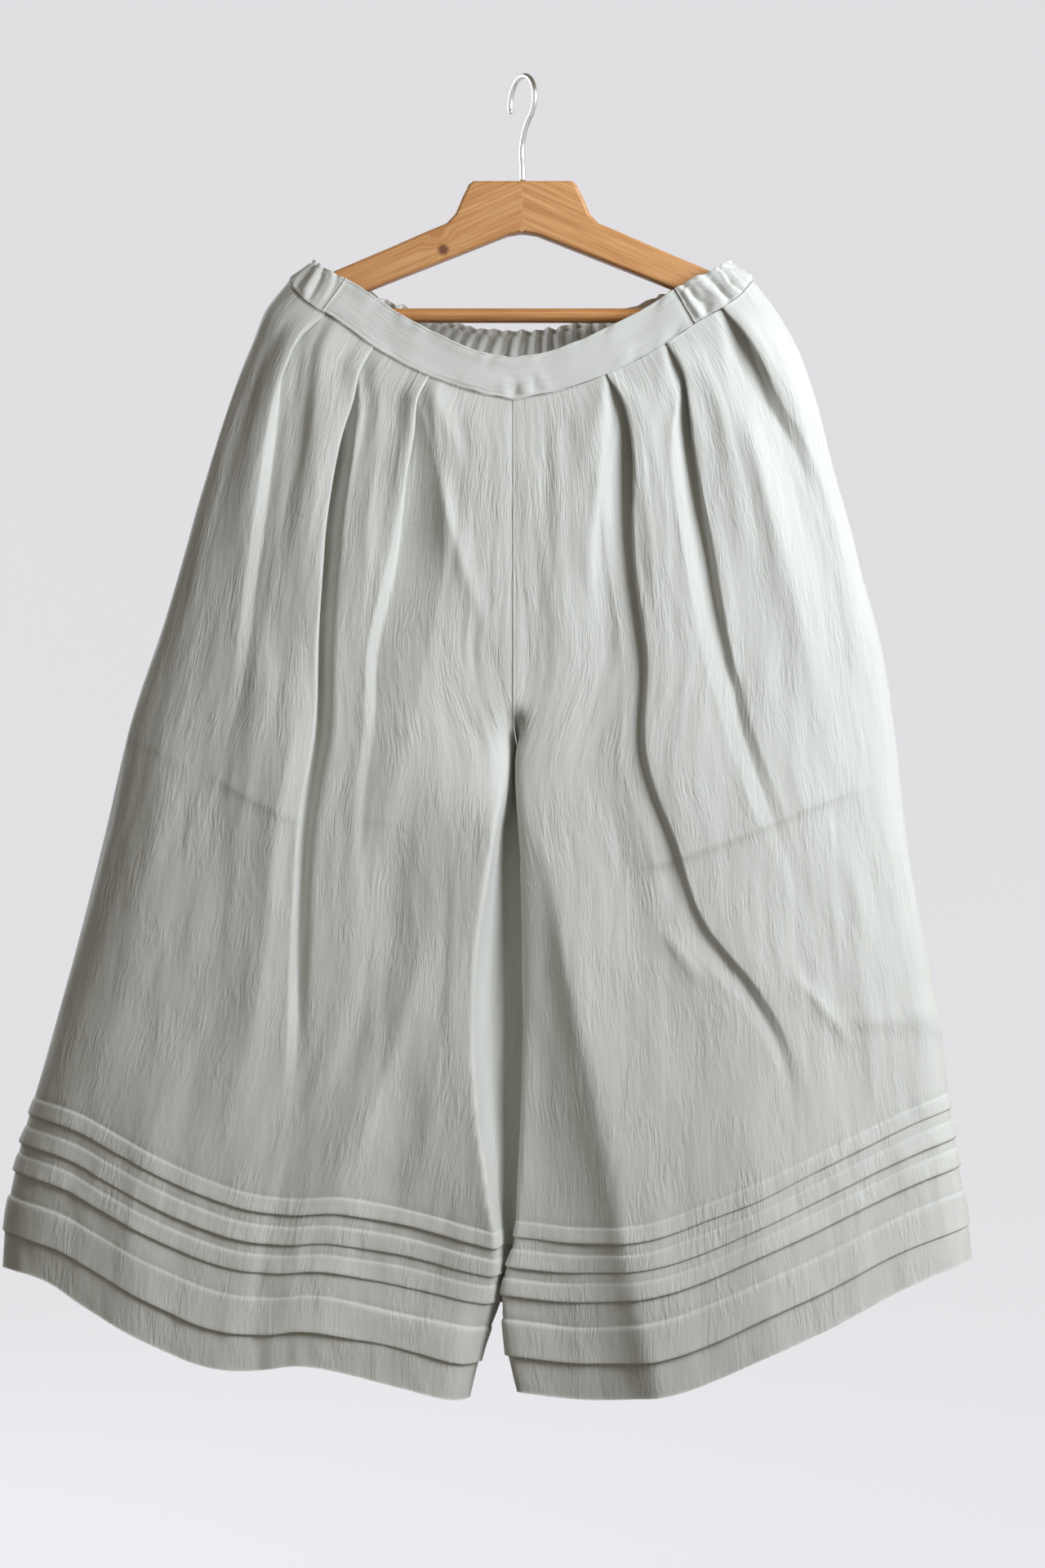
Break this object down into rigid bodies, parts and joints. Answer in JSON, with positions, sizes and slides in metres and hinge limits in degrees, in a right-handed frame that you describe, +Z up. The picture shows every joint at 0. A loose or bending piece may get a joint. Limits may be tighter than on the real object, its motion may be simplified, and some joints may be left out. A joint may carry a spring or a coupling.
{
  "type": "culottes on a hanger",
  "caption": "Wide pleated linen culottes with sewn tucks over the hem and an elastic back waist, hung by the waistband on a cedar trouser hanger with a wire hook.",
  "frame": {"origin": "inside top of the hook's crown, where the hook rests on what it hangs from", "axes": "+Z up, -Y to the front of the garment, +X to the wearer's left"},
  "size_m": [0.7915, 0.1354, 1.0785],
  "materials": {
    "linen_cotton": "matte crinkled weave",
    "cedar": "satin",
    "steel_wire": "bright"
  },
  "bodies": {
    "root": {"front_panel_right": "linen_cotton", "front_panel_left": "linen_cotton", "back_panel_right": "linen_cotton", "back_panel_left": "linen_cotton", "waistband_front": "linen_cotton", "waistband_elastic": "linen_cotton", "hanger_arm_right": "cedar", "hanger_arm_left": "cedar", "hanger_bar": "cedar", "hanger_hook": "steel_wire"}
  },
  "joints": []
}
